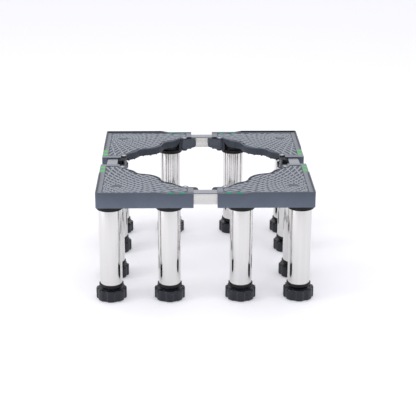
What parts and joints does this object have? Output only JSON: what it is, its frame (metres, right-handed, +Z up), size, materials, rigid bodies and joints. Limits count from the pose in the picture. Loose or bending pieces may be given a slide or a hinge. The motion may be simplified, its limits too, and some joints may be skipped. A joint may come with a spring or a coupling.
{
  "type": "washing machine stand",
  "caption": "Square adjustable appliance stand: corner trays on steel legs, joined by telescopic tubes with cam levers, on screw-out levelling feet.",
  "frame": {"origin": "centre of the stand on the floor, with all feet screwed in and the stand set to 476 mm square", "axes": "+Z up, +X to the stand's right seen from the front, +Y to its back"},
  "size_m": [0.486, 0.486, 0.257],
  "materials": {
    "tray_plastic": "slate-grey moulded plastic, satin, with a fine grain",
    "lever_plastic": "slate-grey moulded plastic, satin",
    "stainless_tube": "polished stainless steel",
    "cross_tube_metal": "pale satin extruded tube",
    "black_plastic": "black moulded plastic, semi-gloss",
    "knob_plastic": "black moulded plastic, semi-gloss",
    "pad_rubber": "black rubber, matt",
    "zinc_steel": "bright zinc-plated steel",
    "green_mark": "green plastic inlay, satin"
  },
  "bodies": {
    "corner_front_left": {"corner_tray_front_left": "tray_plastic", "leg_tubes_front_left": "stainless_tube", "leg_sockets_front_left": "black_plastic", "leg_plugs_front_left": "black_plastic", "pins_and_screws_front_left": "zinc_steel", "marks_front_left": "green_mark"},
    "corner_front_right": {"corner_tray_front_right": "tray_plastic", "leg_tubes_front_right": "stainless_tube", "leg_sockets_front_right": "black_plastic", "leg_plugs_front_right": "black_plastic", "pins_and_screws_front_right": "zinc_steel", "marks_front_right": "green_mark"},
    "corner_back_right": {"corner_tray_back_right": "tray_plastic", "leg_tubes_back_right": "stainless_tube", "leg_sockets_back_right": "black_plastic", "leg_plugs_back_right": "black_plastic", "pins_and_screws_back_right": "zinc_steel", "marks_back_right": "green_mark"},
    "corner_back_left": {"corner_tray_back_left": "tray_plastic", "leg_tubes_back_left": "stainless_tube", "leg_sockets_back_left": "black_plastic", "leg_plugs_back_left": "black_plastic", "pins_and_screws_back_left": "zinc_steel", "marks_back_left": "green_mark"},
    "tube_front": {"cross_tube_front": "cross_tube_metal"},
    "tube_right": {"cross_tube_right": "cross_tube_metal"},
    "tube_back": {"cross_tube_back": "cross_tube_metal"},
    "tube_left": {"cross_tube_left": "cross_tube_metal"},
    "lever_front_left": {"lock_lever_front_left": "lever_plastic"},
    "lever_left_front": {"lock_lever_left_front": "lever_plastic"},
    "pad_front_1": {"foot_pad_front_1": "pad_rubber"},
    "knob_front_1": {"foot_knob_front_1": "knob_plastic"},
    "pad_front_2": {"foot_pad_front_2": "pad_rubber"},
    "knob_front_2": {"foot_knob_front_2": "knob_plastic"},
    "pad_left_1": {"foot_pad_left_1": "pad_rubber"},
    "knob_left_1": {"foot_knob_left_1": "knob_plastic"},
    "lever_right_front": {"lock_lever_right_front": "lever_plastic"},
    "lever_front_right": {"lock_lever_front_right": "lever_plastic"},
    "pad_front_4": {"foot_pad_front_4": "pad_rubber"},
    "knob_front_4": {"foot_knob_front_4": "knob_plastic"},
    "pad_right_1": {"foot_pad_right_1": "pad_rubber"},
    "knob_right_1": {"foot_knob_right_1": "knob_plastic"},
    "pad_front_3": {"foot_pad_front_3": "pad_rubber"},
    "knob_front_3": {"foot_knob_front_3": "knob_plastic"},
    "lever_back_right": {"lock_lever_back_right": "lever_plastic"},
    "lever_right_back": {"lock_lever_right_back": "lever_plastic"},
    "pad_back_4": {"foot_pad_back_4": "pad_rubber"},
    "knob_back_4": {"foot_knob_back_4": "knob_plastic"},
    "pad_back_3": {"foot_pad_back_3": "pad_rubber"},
    "knob_back_3": {"foot_knob_back_3": "knob_plastic"},
    "pad_right_2": {"foot_pad_right_2": "pad_rubber"},
    "knob_right_2": {"foot_knob_right_2": "knob_plastic"},
    "lever_left_back": {"lock_lever_left_back": "lever_plastic"},
    "lever_back_left": {"lock_lever_back_left": "lever_plastic"},
    "pad_back_1": {"foot_pad_back_1": "pad_rubber"},
    "knob_back_1": {"foot_knob_back_1": "knob_plastic"},
    "pad_left_2": {"foot_pad_left_2": "pad_rubber"},
    "knob_left_2": {"foot_knob_left_2": "knob_plastic"},
    "pad_back_2": {"foot_pad_back_2": "pad_rubber"},
    "knob_back_2": {"foot_knob_back_2": "knob_plastic"}
  },
  "joints": [
    {"name": "width_slide", "type": "slide", "parent": "corner_front_left", "child": "tube_front", "axis": [1, 0, 0], "range_m": [-0.012, 0.097]},
    {"name": "front_right_tray_slide", "type": "slide", "parent": "tube_front", "child": "corner_front_right", "axis": [1, 0, 0], "range_m": [-0.012, 0.097]},
    {"name": "depth_slide", "type": "slide", "parent": "corner_front_left", "child": "tube_left", "axis": [0, 1, 0], "range_m": [-0.012, 0.097]},
    {"name": "back_left_tray_slide", "type": "slide", "parent": "tube_left", "child": "corner_back_left", "axis": [0, 1, 0], "range_m": [-0.012, 0.097]},
    {"name": "back_tube_slide", "type": "slide", "parent": "corner_back_left", "child": "tube_back", "axis": [1, 0, 0], "range_m": [-0.012, 0.097]},
    {"name": "back_right_tray_slide", "type": "slide", "parent": "tube_back", "child": "corner_back_right", "axis": [1, 0, 0], "range_m": [-0.012, 0.097]},
    {"name": "right_tube_slide", "type": "slide", "parent": "corner_front_right", "child": "tube_right", "axis": [0, 1, 0], "range_m": [-0.012, 0.097]},
    {"name": "front_left_lever_turn", "type": "hinge", "parent": "corner_front_left", "child": "lever_front_left", "pos_m": [-0.0435, -0.1875, 0.237], "axis": [0, 0, 1], "range_deg": [0, 90]},
    {"name": "left_front_lever_turn", "type": "hinge", "parent": "corner_front_left", "child": "lever_left_front", "pos_m": [-0.1875, -0.0435, 0.237], "axis": [0, 0, -1], "range_deg": [0, 90]},
    {"name": "front_1_foot_travel", "type": "slide", "parent": "corner_front_left", "child": "pad_front_1", "axis": [0, 0, -1], "range_m": [0, 0.03]},
    {"name": "front_1_knob_turn", "type": "hinge", "parent": "pad_front_1", "child": "knob_front_1", "pos_m": [-0.209, -0.209, 0.013], "axis": [0, 0, -1], "range_deg": [0, 2160]},
    {"name": "front_2_foot_travel", "type": "slide", "parent": "corner_front_left", "child": "pad_front_2", "axis": [0, 0, -1], "range_m": [0, 0.03]},
    {"name": "front_2_knob_turn", "type": "hinge", "parent": "pad_front_2", "child": "knob_front_2", "pos_m": [-0.079, -0.209, 0.013], "axis": [0, 0, -1], "range_deg": [0, 2160]},
    {"name": "left_1_foot_travel", "type": "slide", "parent": "corner_front_left", "child": "pad_left_1", "axis": [0, 0, -1], "range_m": [0, 0.03]},
    {"name": "left_1_knob_turn", "type": "hinge", "parent": "pad_left_1", "child": "knob_left_1", "pos_m": [-0.209, -0.079, 0.013], "axis": [0, 0, -1], "range_deg": [0, 2160]},
    {"name": "right_front_lever_turn", "type": "hinge", "parent": "corner_front_right", "child": "lever_right_front", "pos_m": [0.1875, -0.0435, 0.237], "axis": [0, 0, 1], "range_deg": [0, 90]},
    {"name": "front_right_lever_turn", "type": "hinge", "parent": "corner_front_right", "child": "lever_front_right", "pos_m": [0.0435, -0.1875, 0.237], "axis": [0, 0, -1], "range_deg": [0, 90]},
    {"name": "front_4_foot_travel", "type": "slide", "parent": "corner_front_right", "child": "pad_front_4", "axis": [0, 0, -1], "range_m": [0, 0.03]},
    {"name": "front_4_knob_turn", "type": "hinge", "parent": "pad_front_4", "child": "knob_front_4", "pos_m": [0.209, -0.209, 0.013], "axis": [0, 0, -1], "range_deg": [0, 2160]},
    {"name": "right_1_foot_travel", "type": "slide", "parent": "corner_front_right", "child": "pad_right_1", "axis": [0, 0, -1], "range_m": [0, 0.03]},
    {"name": "right_1_knob_turn", "type": "hinge", "parent": "pad_right_1", "child": "knob_right_1", "pos_m": [0.209, -0.079, 0.013], "axis": [0, 0, -1], "range_deg": [0, 2160]},
    {"name": "front_3_foot_travel", "type": "slide", "parent": "corner_front_right", "child": "pad_front_3", "axis": [0, 0, -1], "range_m": [0, 0.03]},
    {"name": "front_3_knob_turn", "type": "hinge", "parent": "pad_front_3", "child": "knob_front_3", "pos_m": [0.079, -0.209, 0.013], "axis": [0, 0, -1], "range_deg": [0, 2160]},
    {"name": "back_right_lever_turn", "type": "hinge", "parent": "corner_back_right", "child": "lever_back_right", "pos_m": [0.0435, 0.1875, 0.237], "axis": [0, 0, 1], "range_deg": [0, 90]},
    {"name": "right_back_lever_turn", "type": "hinge", "parent": "corner_back_right", "child": "lever_right_back", "pos_m": [0.1875, 0.0435, 0.237], "axis": [0, 0, -1], "range_deg": [0, 90]},
    {"name": "back_4_foot_travel", "type": "slide", "parent": "corner_back_right", "child": "pad_back_4", "axis": [0, 0, -1], "range_m": [0, 0.03]},
    {"name": "back_4_knob_turn", "type": "hinge", "parent": "pad_back_4", "child": "knob_back_4", "pos_m": [0.209, 0.209, 0.013], "axis": [0, 0, -1], "range_deg": [0, 2160]},
    {"name": "back_3_foot_travel", "type": "slide", "parent": "corner_back_right", "child": "pad_back_3", "axis": [0, 0, -1], "range_m": [0, 0.03]},
    {"name": "back_3_knob_turn", "type": "hinge", "parent": "pad_back_3", "child": "knob_back_3", "pos_m": [0.079, 0.209, 0.013], "axis": [0, 0, -1], "range_deg": [0, 2160]},
    {"name": "right_2_foot_travel", "type": "slide", "parent": "corner_back_right", "child": "pad_right_2", "axis": [0, 0, -1], "range_m": [0, 0.03]},
    {"name": "right_2_knob_turn", "type": "hinge", "parent": "pad_right_2", "child": "knob_right_2", "pos_m": [0.209, 0.079, 0.013], "axis": [0, 0, -1], "range_deg": [0, 2160]},
    {"name": "left_back_lever_turn", "type": "hinge", "parent": "corner_back_left", "child": "lever_left_back", "pos_m": [-0.1875, 0.0435, 0.237], "axis": [0, 0, 1], "range_deg": [0, 90]},
    {"name": "back_left_lever_turn", "type": "hinge", "parent": "corner_back_left", "child": "lever_back_left", "pos_m": [-0.0435, 0.1875, 0.237], "axis": [0, 0, -1], "range_deg": [0, 90]},
    {"name": "back_1_foot_travel", "type": "slide", "parent": "corner_back_left", "child": "pad_back_1", "axis": [0, 0, -1], "range_m": [0, 0.03]},
    {"name": "back_1_knob_turn", "type": "hinge", "parent": "pad_back_1", "child": "knob_back_1", "pos_m": [-0.209, 0.209, 0.013], "axis": [0, 0, -1], "range_deg": [0, 2160]},
    {"name": "left_2_foot_travel", "type": "slide", "parent": "corner_back_left", "child": "pad_left_2", "axis": [0, 0, -1], "range_m": [0, 0.03]},
    {"name": "left_2_knob_turn", "type": "hinge", "parent": "pad_left_2", "child": "knob_left_2", "pos_m": [-0.209, 0.079, 0.013], "axis": [0, 0, -1], "range_deg": [0, 2160]},
    {"name": "back_2_foot_travel", "type": "slide", "parent": "corner_back_left", "child": "pad_back_2", "axis": [0, 0, -1], "range_m": [0, 0.03]},
    {"name": "back_2_knob_turn", "type": "hinge", "parent": "pad_back_2", "child": "knob_back_2", "pos_m": [-0.079, 0.209, 0.013], "axis": [0, 0, -1], "range_deg": [0, 2160]}
  ],
  "couplings": [
    {"joint": "front_right_tray_slide", "follows": "width_slide", "ratio": 1},
    {"joint": "back_tube_slide", "follows": "width_slide", "ratio": 1},
    {"joint": "back_right_tray_slide", "follows": "width_slide", "ratio": 1},
    {"joint": "back_left_tray_slide", "follows": "depth_slide", "ratio": 1},
    {"joint": "right_tube_slide", "follows": "depth_slide", "ratio": 1},
    {"joint": "front_1_foot_travel", "follows": "front_1_knob_turn", "m_per_rad": 0.00079577},
    {"joint": "front_2_foot_travel", "follows": "front_2_knob_turn", "m_per_rad": 0.00079577},
    {"joint": "left_1_foot_travel", "follows": "left_1_knob_turn", "m_per_rad": 0.00079577},
    {"joint": "front_4_foot_travel", "follows": "front_4_knob_turn", "m_per_rad": 0.00079577},
    {"joint": "right_1_foot_travel", "follows": "right_1_knob_turn", "m_per_rad": 0.00079577},
    {"joint": "front_3_foot_travel", "follows": "front_3_knob_turn", "m_per_rad": 0.00079577},
    {"joint": "back_4_foot_travel", "follows": "back_4_knob_turn", "m_per_rad": 0.00079577},
    {"joint": "back_3_foot_travel", "follows": "back_3_knob_turn", "m_per_rad": 0.00079577},
    {"joint": "right_2_foot_travel", "follows": "right_2_knob_turn", "m_per_rad": 0.00079577},
    {"joint": "back_1_foot_travel", "follows": "back_1_knob_turn", "m_per_rad": 0.00079577},
    {"joint": "left_2_foot_travel", "follows": "left_2_knob_turn", "m_per_rad": 0.00079577},
    {"joint": "back_2_foot_travel", "follows": "back_2_knob_turn", "m_per_rad": 0.00079577}
  ]
}
